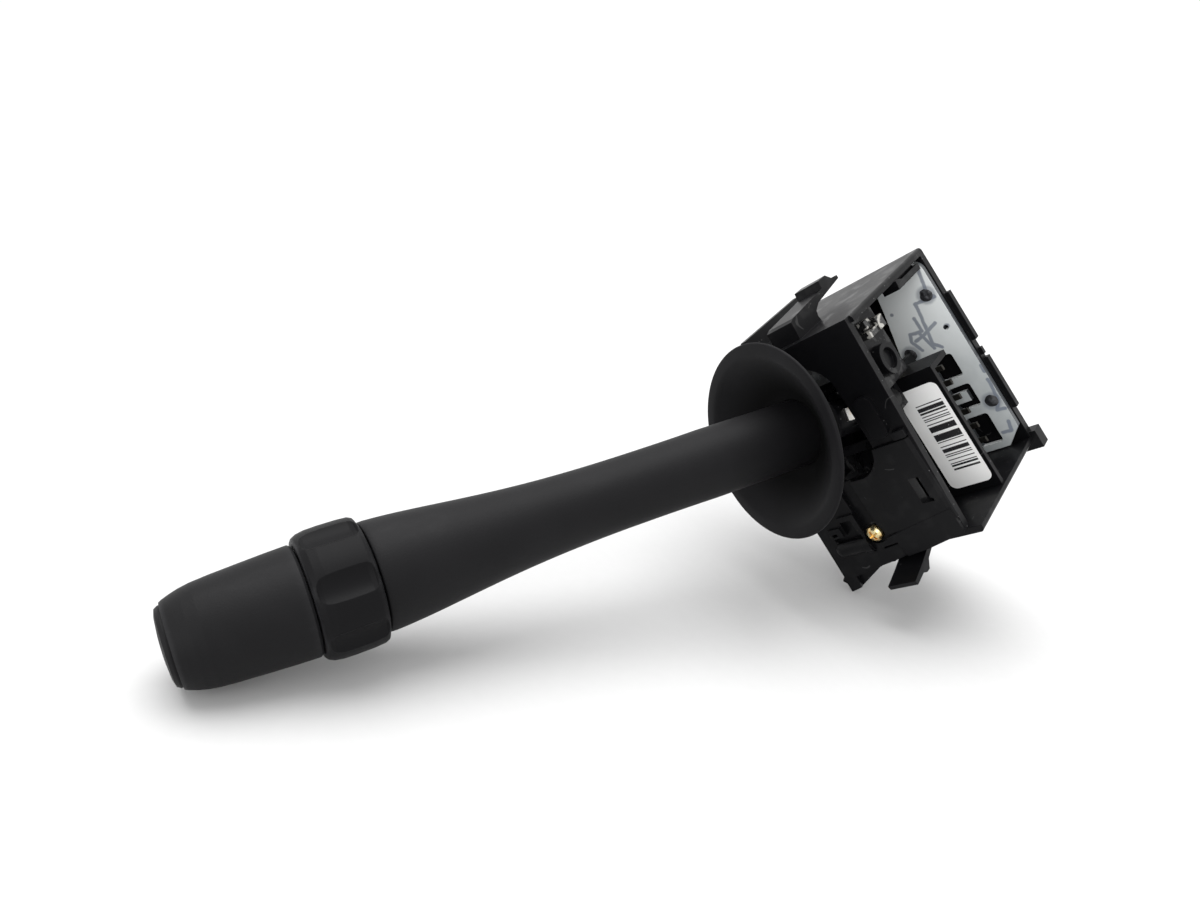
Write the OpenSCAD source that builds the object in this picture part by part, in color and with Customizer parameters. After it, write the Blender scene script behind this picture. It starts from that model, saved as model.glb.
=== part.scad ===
// Combination stalk switch: a wiper stalk on its switch module, as it lies on a table.
// Millimetres. Every piece is drawn in the module's own directions: x from the rear seat
// out of the front face towards the lever, y towards the connector mouth, z up as fitted.
// The origin is the middle of the rear seat. lying() then turns each piece as it lies.

/* [Module case] */
// Depth from the rear seat to the front face
case_depth = 48; // [46:0.5:52]
// Width of the case across the connector mouth direction
case_width = 42; // [41:0.5:46]
// Height of the case
case_height = 61; // [60:0.5:66]
// Wall thickness of the case
case_wall = 1.8; // [1.5:0.1:2]
// Thickness of the front panel
panel_t = 2.2; // [1.8:0.1:2.4]
// Thickness of the rear cover
cover_t = 3; // [2.6:0.1:3.2]
// How far the lower flange of the front panel reaches below the case
flange_drop = 7.6; // [6:0.2:9]
// Width of a snap clip
clip_w = 8; // [6:0.5:9]
// Height of the guide rail on top of the case
rail_h = 4.5; // [3:0.5:6]

/* [Connector socket] */
// Distance of the label wall's outer face from the rear seat
label_wall_x = 27; // [26:0.5:27.5]
// Thickness of the socket walls
socket_wall = 1.4; // [1.1:0.1:1.7]
// Depth of the socket from the mouth plane to its floor
socket_depth = 14.5; // [13.5:0.5:15]
// Height of the socket's roof above the middle of the case
socket_roof_z = 6.8; // [6.2:0.2:7]
// Width of one terminal blade
blade_w = 1.5; // [1.2:0.1:2]
// Thickness of one terminal blade
blade_t = 0.8; // [0.6:0.1:1]
// Number of terminal blades in a row
blade_count = 6; // [4:1:6]
// Width of the label
label_w = 11.6; // [9:0.2:12]
// Length of the label
label_len = 29.6; // [24:0.2:30]

/* [Terminal plate] */
// Thickness of the milky terminal plate
plate_t = 1.5; // [1.2:0.1:1.8]
// Thickness of the contact tracks
track_t = 0.5; // [0.3:0.1:0.6]
// Diameter of a heat stake head
stake_d = 4.2; // [3.6:0.2:4.8]

/* [Lever] */
// Angle of the lever above the module's depth direction
lever_up = 18.8; // [16:0.2:19.4]
// Angle of the lever towards the driver
lever_out = 14.5; // [12:0.5:15]
// Radius of the lever at its waist
waist_r = 7.85; // [7.6:0.05:8.2]
// Radius of the lever where it meets the grip ring
flare_r = 10.95; // [10.6:0.05:11.2]
// Distance of the grip ring from the pivot
ring_u = 131.6; // [125:0.5:136]
// Length of the grip ring
ring_len = 11.8; // [10.5:0.1:13]
// Largest radius of the grip ring
ring_r = 12.57; // [12.3:0.1:13]
// Number of finger flutes round the grip ring
flute_count = 7; // [5:1:8]
// Length of the tip cap
cap_len = 23; // [22:0.2:25]
// Radius of the tip cap at the grip ring
cap_r = 10.75; // [10.5:0.05:11]
// Radius of the push button in the tip
button_r = 7.4; // [7:0.1:7.6]
// Travel of the push button
button_travel = 2; // [1.5:0.1:2.2]

/* [Dust cup] */
// Distance of the cup's rim from the pivot
cup_u = 34; // [34:0.5:36]
// Outer radius of the cup's rim
cup_r = 24.2; // [22.5:0.1:24.4]
// Width of the cup's flat lip
cup_lip = 4.6; // [4:0.1:5]

/* [Pose on the table] */
// Turn of the module about its depth direction
lie_roll = 42; // [30:1:50]
// Turn of the module about the sideways direction
lie_pitch = 20; // [10:1:30]
// Turn of the whole object on the table
lie_yaw = -121; // [-180:1:180]

/* [Hidden] */
$fn = 64;
hull_fn = 32;

black = [0.06, 0.06, 0.065];
gloss_black = [0.04, 0.04, 0.045];
milky = [0.78, 0.81, 0.82];
ivory = [0.86, 0.84, 0.78];
paper = [0.93, 0.93, 0.91];
gold = [0.83, 0.66, 0.3];
steel = [0.62, 0.63, 0.65];
tin = [0.72, 0.7, 0.62];

side_y = case_width / 2;
top_z = case_height / 2;
inner_y = side_y - case_wall;
inner_z = top_z - case_wall;
panel_x = case_depth - panel_t;
// small overlap that fuses two shapes of one piece
eps = 0.01;
// radial play of a running fit
run_gap = 0.06;
// radial play of two parts that are assembled once
seat_gap = 0.05;
// air between bodies that move past each other
part_gap = 0.3;

// Point where the swing axis and the pull axis cross on the lever's axis
pivot = [33, 4.1, 4.3];

// Turns children from the module's directions to the way the object lies
module lying() rotate([lie_roll, lie_pitch, lie_yaw]) children();

// Places children in the yoke's directions: x along its arm, y along the swing axis
module in_yoke() translate(pivot) rotate([0, -lever_up, 0]) children();

// Places children with x along the lever
module on_lever() in_yoke() rotate([0, 0, -lever_out]) children();

// Extrudes an outline drawn in (y, z) from x0 to x1
module along_x(x0, x1) translate([x0, 0, 0]) rotate([90, 0, 90]) linear_extrude(x1 - x0) children();

// Extrudes an outline drawn in (x, z) from y0 to y1
module along_y(y0, y1) translate([0, y1, 0]) rotate([90, 0, 0]) linear_extrude(y1 - y0) children();

// Turns an outline drawn in (radius, distance) about the x axis
module turned() rotate([0, 90, 0]) rotate_extrude($fn = 96) children();

// A rod along x from x0 to x1
module rod(x0, x1, r) translate([x0, 0, 0]) rotate([0, 90, 0]) cylinder(r = r, h = x1 - x0);

// A pin along y from y0 to y1
module pin_y(y0, y1, r) translate([0, y1, 0]) rotate([90, 0, 0]) cylinder(r = r, h = y1 - y0);

// A box from one corner to the other
module block(a, b) translate(a) cube(b - a);

// A rectangle from one corner to the other
module rect(a, b) translate(a) square(b - a);

// A rectangle with round corners, from one corner to the other
module round_rect(a, b, r) {
    rect([a[0] + r, a[1]], [b[0] - r, b[1]]);
    rect([a[0], a[1] + r], [b[0], b[1] - r]);
    for (x = [a[0] + r, b[0] - r], y = [a[1] + r, b[1] - r]) translate([x, y]) circle(r);
}

// A coil spring along z from 0 to its length, swept as short straight pieces
coil_sides = 6;
coil_steps = 16;
module coil(r, wire, length, turns) {
    steps = turns * coil_steps;
    rise = (length - 2 * wire) / steps;
    points = [for (i = [0 : steps], j = [0 : coil_sides - 1])
        let (a = i * 360 / coil_steps, q = j * 360 / coil_sides)
        [(r + wire * cos(q)) * cos(a), (r + wire * cos(q)) * sin(a), wire + rise * i + wire * sin(q)]];
    walls = [for (i = [0 : steps - 1], j = [0 : coil_sides - 1]) let (k = (j + 1) % coil_sides)
        [i * coil_sides + j, (i + 1) * coil_sides + j, (i + 1) * coil_sides + k, i * coil_sides + k]];
    first_end = [for (j = [0 : coil_sides - 1]) j];
    last_end = [for (j = [coil_sides - 1 : -1 : 0]) steps * coil_sides + j];
    polyhedron(points, concat([first_end, last_end], walls), convexity = 6);
}

// Front housing: open on the connector side and on the back
screw_at = [-5, -23];
screw_side_at = [-17, -10];
screws_at = [screw_at, screw_side_at];
head_depth = 0.9;
screw_len = 9;
flange_z = -top_z - flange_drop;
module panel_outline() polygon([[side_y - 0.6, top_z], [side_y - 2.8, 2.6 - top_z], [7.4, 0.5 - top_z],
    [1, -0.3 - top_z], [-3.8, -1.2 - top_z], [-8.4, -1.8 - top_z], [2.7 - side_y, flange_z + 0.7],
    [-side_y - 0.8, flange_z], [-side_y - 0.7, flange_z + 2.7], [-side_y - 1.6, flange_z + 3.8],
    [-side_y - 0.4, flange_z + 5], [-side_y, 11 - top_z], [-side_y, top_z]]);
// pocket under the flange's edge
module flange_pocket() polygon([[3.3 - side_y, flange_z + 4.3], [-8.8, -1.7 - top_z], [-9.2, -4 - top_z],
    [2 - side_y, flange_z - 1], [2.8 - side_y, flange_z + 0.8]]);
// the corner towards the driver and up is where the cup's back comes closest
module lever_opening() hull() for (p = [[0.6, 0.5], [0.6, 16.5], [-9.2, 19], [-6, 0.5]])
    translate(p) circle(8, $fn = hull_fn);
// smooth swell of the front face towards the mouth, with a sloping side
swell_h = 1;
swell_top_z = -1;
module swell() translate([0, 0, screw_at[1] - 1]) linear_extrude(swell_top_z - screw_at[1] + 1)
    polygon([[case_depth - eps, -2.9], [case_depth + 0.35, -0.6], [case_depth + 0.8 * swell_h, 2.4],
        [case_depth + swell_h, 6], [case_depth + swell_h, side_y - 3.4], [case_depth + 0.6 * swell_h, side_y - 2.6],
        [case_depth - eps, side_y - 2.4]]);
// upright channel from the lever opening down to the lower screw
channel = [[-7.3, screw_at[1]], [-2.9, 2]];
// L shaped frame and the recess beside the screw
frame_h = 0.7;
recess_depth = 1.5;
module recess_outline() {
    rect([-12.8, -23.4], [-8.8, -17.2]);
    rect([-17.2, -23.4], [-8.8, -21.4]);
}
// half round boss under the recess
boss_r = 2.2;
boss_z = screw_at[1] - 2.6;
boss_x = case_depth - 1.1;
module upper_clip_outline() {
    root = case_depth - 3;
    polygon([[root, -eps], [root - 0.5, 4.6], [root - 2, 5.1], [root - 19.6, 5.9], [root - 20, 8],
        [root - 24, 8], [root - 26, 6.4], [root - 29, 6], [root - 29, 5.1], [root - 15, 3.7],
        [root - 12.4, 2.6], [root - 11.8, 1.2], [root - 12, -eps]]);
}
module lower_clip_outline() {
    root = case_depth - 9;
    polygon([[root, eps], [root, -1.4], [root + 7.5, -3.4], [root + 9.6, -5.2], [root + 11.2, -5.1],
        [root + 12.4, -4.3], [root + 17, -4.7], [root + 17.3, -3.5], [root + 11, -2.5], [root + 6, -1.5],
        [root + 4, eps]]);
}
lip_x0 = cover_t + 2.2;
lip_x1 = 20;
module case_walls() difference() {
    round_rect([-side_y, -top_z], [side_y, top_z], 1);
    rect([-inner_y, -inner_z], [side_y + 1, inner_z]);
}
module front_housing() color(gloss_black) difference() {
    union() {
        along_x(panel_x, case_depth) panel_outline();
        along_x(cover_t, panel_x + eps) case_walls();
        // lip inside the upper edge of the mouth, with a trench between it and the wall
        block([lip_x0, side_y - 5, inner_z - 2.6], [lip_x1, side_y - 2.2, inner_z + eps]);
        block([lip_x0, side_y - 2.3, inner_z - 2.6], [lip_x1, side_y - 0.5, inner_z - 1]);
        // catch at the lip's end
        along_y(side_y - 3, side_y + 0.5) polygon([[lip_x1 - 2.4, inner_z - 1], [lip_x1 + 1.6, inner_z - 1.3],
            [lip_x1 + 1.6, inner_z + eps], [lip_x1 + 0.2, inner_z + eps], [lip_x1 - 0.6, inner_z - 0.3]]);
        // lower band of the front face and its stepped end
        along_x(case_depth - eps, case_depth + 1.1)
            polygon([[side_y - 2.8, 2.6 - top_z], [7.4, 0.5 - top_z], [1, -0.3 - top_z], [0.4, 4.2 - top_z],
                [-4.6, 3.6 - top_z], [-3.2, 5.2 - top_z], [-0.9, 6.2 - top_z], [side_y - 2.9, 9.5 - top_z]]);
        swell();
        // lug beside the lever opening, and the small block at its foot
        along_x(case_depth - eps, case_depth + 1.5) round_rect([10.8, 1.2], [15.4, 12.2], 1.9);
        along_x(case_depth - eps, case_depth + 1.2) round_rect([15.2, -0.6], [side_y - 2.4, 1.5], 0.4);
        // frame round the recess
        along_x(case_depth - eps, case_depth + frame_h) {
            rect([-12.6, -17.2], [-7.2, -15.8]);
            rect([-8.9, -21.6], [-7.2, -15.9]);
            rect([-17.2, -21.4], [-13.4, -18.6]);
        }
        // half round boss with a ball end, and its collar beside the screw
        translate([boss_x, 0, boss_z]) {
            pin_y(-16.8, -7, boss_r);
            translate([0, -16.8, 0]) sphere(r = boss_r);
            pin_y(-9.4, -7.4, boss_r + 0.35);
        }
        // ribs that stiffen the flange
        for (y = [-19.4, -12.6, -6.2])
            along_y(y - 0.6, y + 0.6)
                polygon([[panel_x - 7, eps - top_z], [panel_x + eps, eps - top_z],
                    [panel_x + eps, -top_z - flange_drop / 3]]);
        // bosses behind the screws
        for (p = screws_at)
            translate([panel_x - screw_len, p[0], p[1]]) rotate([0, 90, 0]) cylinder(r = 2.8, h = screw_len + eps);
        // snap clips above and below
        along_y(1.5 - clip_w / 2, 1.5 + clip_w / 2) translate([0, top_z]) upper_clip_outline();
        along_y(-clip_w / 2, clip_w / 2) translate([0, -top_z]) lower_clip_outline();
        // guide rail on top and guide ribs on the closed side
        block([cover_t, -18.4, top_z - eps], [35, -16.6, top_z + rail_h]);
        for (z = [-17, 17]) block([cover_t, -side_y - 1.4, z - 1.2], [panel_x - 4, eps - side_y, z + 1.2]);
    }
    along_x(panel_x - 1, case_depth + 3) lever_opening();
    // slot beside the label wall, with its small notch
    along_x(panel_x - 1, case_depth + 3) rect([12.6, -18], [15.3, -11]);
    along_x(case_depth - 0.8, case_depth + 3) rect([14.9, -18.1], [15.9, -17.2]);
    // channel, and the groove at the band's stepped end
    along_x(case_depth - 1.2, case_depth + 3) rect(channel[0], channel[1]);
    along_x(case_depth - 1, case_depth + 3) polygon([[-4.8, -26.8], [0.2, -26.3], [0.8, -31.4], [0.2, -31.4],
        [-0.4, -27.3], [-4.8, -27.8]]);
    // seats and holes of the screws
    for (p = screws_at) translate([0, p[0], p[1]]) {
        rod(case_depth - head_depth, case_depth + 5, 2.9);
        rod(case_depth - head_depth - screw_len - 1, case_depth, 1.25);
    }
    // recess beside the lower screw, the small slot beside it and the pocket under the flange
    difference() {
        along_x(case_depth - recess_depth, case_depth + 3) recess_outline();
        translate([boss_x, 0, boss_z]) pin_y(-side_y, 0, boss_r);
    }
    along_x(case_depth - recess_depth, case_depth + 3) rect([-16.6, -20.9], [-15, -20]);
    along_x(case_depth - 1.3, case_depth + 3) flange_pocket();
}

// Rear cover with its snap bumps along the mouth edge and the raised seat on its back
seat_y = 15;
seat_z = 23;
slider_y = [-16, -6.6];
stake_hole_r = 1.5;
stake_head = 1.05;
stake_places = [[side_y - 3.2, top_z - 11.5], [side_y - 15.8, top_z - 24.8], [side_y - 2.9, top_z - 45.2]];
module rear_cover() color(gloss_black) difference() {
    union() {
        along_x(0.6, cover_t) round_rect([-side_y, -top_z], [side_y, top_z], 1);
        along_x(0, cover_t) round_rect([-seat_y, -seat_z], [seat_y, seat_z], 2);
        // snap bumps and the small lug between them
        block([0.6, side_y - 2, top_z - 28.4], [2.4, side_y + 1.1, top_z - 13.8]);
        block([1.2, side_y - 2, top_z - 33], [2.4, side_y + 0.9, top_z - 31]);
        block([0.6, side_y - 2, top_z - 49.9], [2.4, side_y + 1.1, top_z - 34.1]);
        // corner block at the lower end
        block([-1.5, side_y - 4, -top_z - 2.2], [cover_t - 0.6, side_y + 1.7, -top_z + 3]);
        // locating rib inside the closed half of the case
        difference() {
            along_x(cover_t - eps, cover_t + 2.6)
                rect([seat_gap - inner_y, seat_gap - inner_z], [-0.4, inner_z - seat_gap]);
            along_x(cover_t - 1, cover_t + 4) rect([1.4 - inner_y, 1.4 - inner_z], [1, inner_z - 1.4]);
        }
        // guide ribs of the contact slider
        for (y = [slider_y[0] - 1.2, slider_y[1] + 0.2])
            block([cover_t - eps, y, -15], [cover_t + 3, y + 1, 15]);
    }
    for (p = stake_places) translate([0, p[0], p[1]]) rod(-1, cover_t + 1, stake_hole_r);
}

// Milky terminal plate with its windows, on the rear cover
plate_x = cover_t + track_t;
plate_front = plate_x + plate_t;
plate_right = side_y - 0.2;
plate_top = inner_z - 0.3;
window_right = side_y - 5.7;
window_left = side_y - 12;
corner_r = 3;
function arc(middle, r, from, to) = [for (a = [from : 15 : to]) middle + r * [cos(a), sin(a)]];
module window(c0, c1) round_rect([window_left, top_z - c1], [window_right, top_z - c0], 0.9);
module plate_outline() difference() {
    polygon(concat(arc([plate_right - corner_r, plate_top - corner_r], corner_r, 0, 90),
        arc([8.8, plate_top - corner_r], corner_r, 90, 165),
        [[4.9, 19.6], [1.4, 1.5], [1.4, -plate_top], [plate_right - 4.6, -plate_top],
            [plate_right, 4.6 - plate_top]]));
    window(28.5, 35.5);
    difference() {
        window(38.1, 45.1);
        rect([window_left - 1, top_z - 43.1], [window_right - 1.8, top_z - 40.1]);
    }
    window(47.8, 57);
    for (p = stake_places) translate(p) circle(stake_hole_r);
    translate([side_y - 3.1, top_z - 21.6]) circle(0.7);
}
module terminal_plate() color(milky) along_x(plate_x, plate_front) plate_outline();

// Contact tracks pressed from sheet: some under the plate, two under the contact slider
track_w = 1.4;
module track(a, b) {
    length = norm(b - a);
    translate(a) rotate(atan2(b[1] - a[1], b[0] - a[0])) rect([0, -track_w / 2], [length, track_w / 2]);
}
module contact_tracks() color(steel) along_x(cover_t, plate_x) {
    track([15.6, 20.2], [12.6, 14.4]);
    track([12.9, 15], [8.6, 3.4]);
    track([10.9, 9.4], [13.6, 8]);
    track([9.8, 6.4], [6, 9.2]);
    track([16.4, -17.4], [17.6, -23]);
    for (y = [slider_y[0] + 1.4, slider_y[1] - 3.4]) rect([y, -13], [y + 2, 13]);
}

// Heat stakes that hold the plate on the cover, with their melted heads
module heat_stakes() color(black) for (p = stake_places) translate([0, p[0], p[1]])
    turned() polygon([[0, 0.3], [stake_hole_r, 0.3], [stake_hole_r, plate_front], [stake_d / 2 - 0.2, plate_front],
        [stake_d / 2, plate_front + 0.3], [stake_d / 2 - 0.3, plate_front + stake_head - 0.25],
        [stake_d / 2 - 0.9, plate_front + stake_head], [0, plate_front + stake_head - 0.25]]);

// Connector socket: label wall, roof and floor
mouth_y = side_y - 0.5;
floor_y = side_y - socket_depth;
floor_t = 1.5;
blade_x = [9.6, 18.2];
blade_top_z = socket_roof_z - 6.4;
blade_pitch = 4.6;
module each_blade(grow, y0, y1) for (x = blade_x, k = [0 : blade_count - 1])
    block([x - blade_t / 2 - grow, y0, blade_top_z - k * blade_pitch - blade_w / 2 - grow],
        [x + blade_t / 2 + grow, y1, blade_top_z - k * blade_pitch + blade_w / 2 + grow]);
module connector_socket() color(gloss_black) difference() {
    union() {
        block([label_wall_x - socket_wall, floor_y - floor_t, -inner_z], [label_wall_x, mouth_y, socket_roof_z]);
        block([17, floor_y - floor_t, socket_roof_z - socket_wall], [label_wall_x, mouth_y, socket_roof_z]);
        block([plate_front, floor_y - floor_t, -inner_z], [label_wall_x, floor_y, socket_roof_z]);
        // keying rib on the inside of the label wall
        block([label_wall_x - socket_wall - 1.2, floor_y - eps, -12], [label_wall_x - eps, mouth_y - 4, -10.4]);
    }
    each_blade(0.02, floor_y - 4, floor_y + 1);
    // room for the stake heads
    for (p = stake_places) translate([0, p[0], p[1]])
        rod(0, plate_front + stake_head + part_gap, stake_d / 2 + part_gap);
}

// Terminal blades through the socket floor, with tapered tips
blade_tail = 2;
blade_reach = 7.5;
module terminal_blades() color(tin) difference() {
    each_blade(0, floor_y - floor_t - blade_tail, floor_y + blade_reach);
    for (x = blade_x, s = [-1, 1]) translate([x + s * blade_t, floor_y + blade_reach, 0])
        rotate([0, 0, 45]) cube([blade_t, blade_t, 2 * case_height], center = true);
}

// Paper label on the label wall, left bare
label_t = 0.15;
label_low = 4 - top_z;
module label() color(paper) along_x(label_wall_x, label_wall_x + label_t)
    round_rect([mouth_y - 1 - label_w, label_low], [mouth_y - 1, label_low + label_len], 1.9);

// Yellow pan head screws with a cross recess
module cover_screws() color(gold) for (p = screws_at)
    translate([case_depth - head_depth, p[0], p[1]]) difference() {
        turned() polygon([[0, -screw_len], [0.7, -screw_len], [1.2, 1.4 - screw_len], [1.2, 0], [2.3, 0],
            [2.3, 0.5], [2.05, 1.15], [1.5, 1.65], [0.8, 1.9], [0, 2]]);
        for (a = [20, 110]) rotate([a, 0, 0]) block([0.9, -1.35, -0.25], [3, 1.35, 0.25]);
    }

// Bearing frame inside the case: a cheek on the driver's side, and on the mouth side an ear
// under a short cheek, so that the label wall stays open to view
eye_r = 4.2;
neck_r = 4.6;
cheek_t = 2.2;
half_span = 11.3;
cheek_in = half_span - cheek_t;
cheek_right = pivot[1] + half_span;
cheek_left = pivot[1] - half_span;
yoke_right_t = 1.4;
yoke_right = eye_r + 0.4 + yoke_right_t;
ear_in = yoke_right + part_gap;
ear_t = 1.6;
ear_w = 6.4;
pin_r = 2;
frame_x0 = label_wall_x + 0.4;
cheek_low = -19;
short_cheek_z = pivot[2] + 4.5;
boss_at = [36, 15.1];
module bearing_frame() color(black) difference() {
    union() {
        along_y(cheek_left, cheek_left + cheek_t) rect([frame_x0, cheek_low], [panel_x, inner_z]);
        block([frame_x0, cheek_left, -inner_z], [frame_x0 + 2, cheek_left + cheek_t, cheek_low + 1]);
        along_y(cheek_right - cheek_t, cheek_right) rect([frame_x0, short_cheek_z], [panel_x, inner_z]);
        block([frame_x0, cheek_left, inner_z - 2], [frame_x0 + 2, cheek_right, inner_z]);
        // ear of the near swing pin and its bridge to the short cheek
        block([pivot[0] - ear_w / 2, pivot[1] + ear_in, pivot[2] - ear_w / 2],
            [pivot[0] + ear_w / 2, pivot[1] + ear_in + ear_t, short_cheek_z + 2]);
        block([pivot[0] - ear_w / 2, pivot[1] + ear_in, short_cheek_z],
            [pivot[0] + ear_w / 2, cheek_right, short_cheek_z + 2]);
        // round boss beside the contacts, seen through the mouth
        translate([boss_at[0], 0, boss_at[1]]) pin_y(cheek_right - eps, cheek_right + 2.6, 4);
    }
    translate([boss_at[0], 0, boss_at[1]]) pin_y(cheek_right + 1.6, cheek_right + 4, 2.7);
    // notch in one cheek for the lever's shoulder
    block([pivot[0] + 8, cheek_left - 1, pivot[2] - 11], [panel_x + 1, cheek_left + cheek_t + 1, pivot[2] + 17.5]);
    translate([pivot[0], 0, pivot[2]]) pin_y(cheek_left - 1, cheek_right + 1, pin_r);
}

// Contact blocks and strip beside the bearing frame, seen through the mouth
module fixed_contacts() color(ivory) {
    low = inner_z - 6.9;
    block([33.4, cheek_right, low], [38, cheek_right + 2.6, low + 1.6]);
    block([30, cheek_right, low], [33.4, cheek_right + 3, low + 3]);
    block([34.2, cheek_right, low + 2.2], [37, cheek_right + 2, low + 4.2]);
}

// Swing pins pressed into the cheeks
yoke_half = cheek_in - part_gap;
yoke_side = 2.4;
module swing_pins() color(steel) translate(pivot) {
    pin_y(-half_span, yoke_side - yoke_half, pin_r);
    pin_y(yoke_right - yoke_right_t, ear_in + ear_t, pin_r);
}

// Swing yoke: turns on the swing pins and carries the pull pin and the detent arm
yoke_z = [7.2, 9.6];
yoke_back = 4;
yoke_front = 7.4;
yoke_short = 3;
pull_r = 1.6;
arm_w = 5;
arm_len = pivot[0] - cover_t - 9;
arm_half_z = 3.4;
arm_mid = arm_w / 2 - yoke_half;
arm_bore = 1.75;
peg_r = 1.3;
peg_reach = arm_len - 1.8;
module swing_yoke() color(black) in_yoke() difference() {
    union() {
        // the side that the lever leans towards is short, to leave its neck room
        block([-yoke_back, -yoke_half, -yoke_z[1]], [yoke_short, yoke_side - yoke_half, yoke_z[1]]);
        block([-yoke_back, yoke_right - yoke_right_t, -yoke_z[1]], [yoke_front, yoke_right, yoke_z[1]]);
        for (z = [-yoke_z[1], yoke_z[0]])
            block([-yoke_back, -yoke_half, z], [yoke_front, yoke_right, z + yoke_z[1] - yoke_z[0]]);
        // detent arm and its gusset
        block([-arm_len, -yoke_half, -arm_half_z], [eps - yoke_back, arm_w - yoke_half, arm_half_z]);
        block([-yoke_back - 2.4, -yoke_half, -yoke_z[1]], [eps - yoke_back, arm_w - yoke_half, yoke_z[1]]);
        // peg that drives the contact slider
        translate([-peg_reach, 0, 0]) pin_y(-yoke_half - 3, eps - yoke_half, peg_r);
    }
    pin_y(-2 * yoke_half, 2 * yoke_half, pin_r + run_gap);
    cylinder(r = pull_r, h = 4 * yoke_z[1], center = true);
    translate([0, arm_mid, 0]) rod(-arm_len - 1, 10 - arm_len, arm_bore);
}

// Pull pin through the yoke and the lever's eye
module pull_pin() color(steel) in_yoke() cylinder(r = pull_r, h = 2 * yoke_z[1], center = true);

// Detent spring and plunger in the yoke's arm
plunger_r = arm_bore - run_gap;
plunger_len = 7;
plunger_tip = arm_len + 1.6;
module detent_spring() color(steel) in_yoke()
    translate([10 - arm_len, arm_mid, 0]) rotate([0, -90, 0]) coil(1.2, 0.22, 10 + 1.6 - plunger_len, 4);
module detent_plunger() color(steel) in_yoke() translate([-plunger_tip, arm_mid, 0]) {
    rod(0, plunger_len, plunger_r);
    sphere(r = plunger_r);
}

// Detent block on the cover, with one groove for each lever position
step_angle = 8;
swing_low = -24;
detent_angles = [swing_low, swing_low + step_angle, swing_low + 2 * step_angle, 0, 6];
module detent_block() color(ivory) difference() {
    block([cover_t, arm_mid + pivot[1] - arm_w / 2, -10], [13.4, arm_mid + pivot[1] + arm_w / 2, 11]);
    translate([pivot[0], 0, pivot[2]]) {
        pin_y(-side_y, side_y, plunger_tip + plunger_r + part_gap);
        for (a = detent_angles) rotate([0, -lever_up - a, 0]) translate([-plunger_tip - 1, 0, 0])
            pin_y(-side_y, side_y, 2.2);
    }
}

// Contact slider: runs up and down on the cover's tracks, driven by the yoke's peg
peg_x = pivot[0] - peg_reach * cos(lever_up);
peg_z = pivot[2] - peg_reach * sin(lever_up);
peg_y = pivot[1] - yoke_half - 3;
slider_x = plate_x + 1.2;
module contact_slider() color(ivory) difference() {
    union() {
        block([slider_x, slider_y[0], peg_z - 6], [slider_x + 3, slider_y[1], peg_z + 6]);
        block([slider_x, slider_y[0] + 2, peg_z - 3.4], [peg_x + 4.6, slider_y[1], peg_z + 3.4]);
    }
    along_y(peg_y - part_gap, side_y) round_rect([peg_x - 2.6, peg_z - peg_r - 0.4], [peg_x + 6, peg_z + peg_r + 0.4], 1.2);
}
module slider_bridges() color(tin) for (y = [slider_y[0] + 1.7, slider_y[1] - 3.1], z = [-4.6, 3.2])
    block([plate_x + part_gap, y, peg_z + z], [slider_x, y + 1.4, peg_z + z + 1.4]);

// Lever core: eye, neck, shoulder, spigot, ring hub and cap seat
shoulder_u = 18;
tube_u0 = 19;
core_r = 6;
hub_r = 8.9;
lead_r = 2.2;
ring_end = ring_u + ring_len;
cap_u = ring_end + 0.25;
seat_r = 8.2;
core_end = cap_u + 6;
ring_mid = ring_u + ring_len / 2;
module lever_core() color(black) on_lever() difference() {
    union() {
        turned() polygon([[0, 3], [neck_r, 3], [neck_r, shoulder_u - 2], [7.9, shoulder_u], [7.9, tube_u0],
            [core_r, tube_u0], [core_r, ring_u - 1.8], [hub_r, ring_u - 0.3], [hub_r, ring_end + 0.1],
            [seat_r, ring_end + 0.1], [seat_r, core_end], [0, core_end]]);
        cylinder(r = eye_r, h = 2 * (yoke_z[0] - part_gap), center = true);
    }
    cylinder(r = pull_r + run_gap, h = 40, center = true);
    rod(9, core_end + 1, lead_r);
    translate([ring_mid, 0, 3]) cylinder(r = 1.6, h = 12);
}

// Lever tube: straight, with a waist and a flare towards the grip ring
waist_u = 76;
root_u = 52;
root_r = waist_r + 0.31;
tube_end = ring_u - 0.35;
function flare(s) = s * s + 1.8 * pow(s, 4) * (1 - s);
function tube_r(u) = u < root_u ? root_r
    : u < waist_u ? waist_r + (root_r - waist_r) * pow((waist_u - u) / (waist_u - root_u), 2)
    : waist_r + (flare_r - waist_r) * flare((u - waist_u) / (tube_end - waist_u));
module lever_tube() color(black) on_lever() turned() polygon(concat(
    [[core_r + seat_gap, tube_u0], [root_r, tube_u0]],
    [for (u = [root_u : 6 : waist_u - 1]) [tube_r(u), u]],
    [for (k = [0 : 18]) let (u = waist_u + (tube_end - 0.5 - waist_u) * k / 18) [tube_r(u), u]],
    [[flare_r - 0.5, tube_end], [hub_r + 0.3, tube_end], [hub_r + 0.3, ring_u - 1],
        [core_r + seat_gap, ring_u - 2.6]]));

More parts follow.
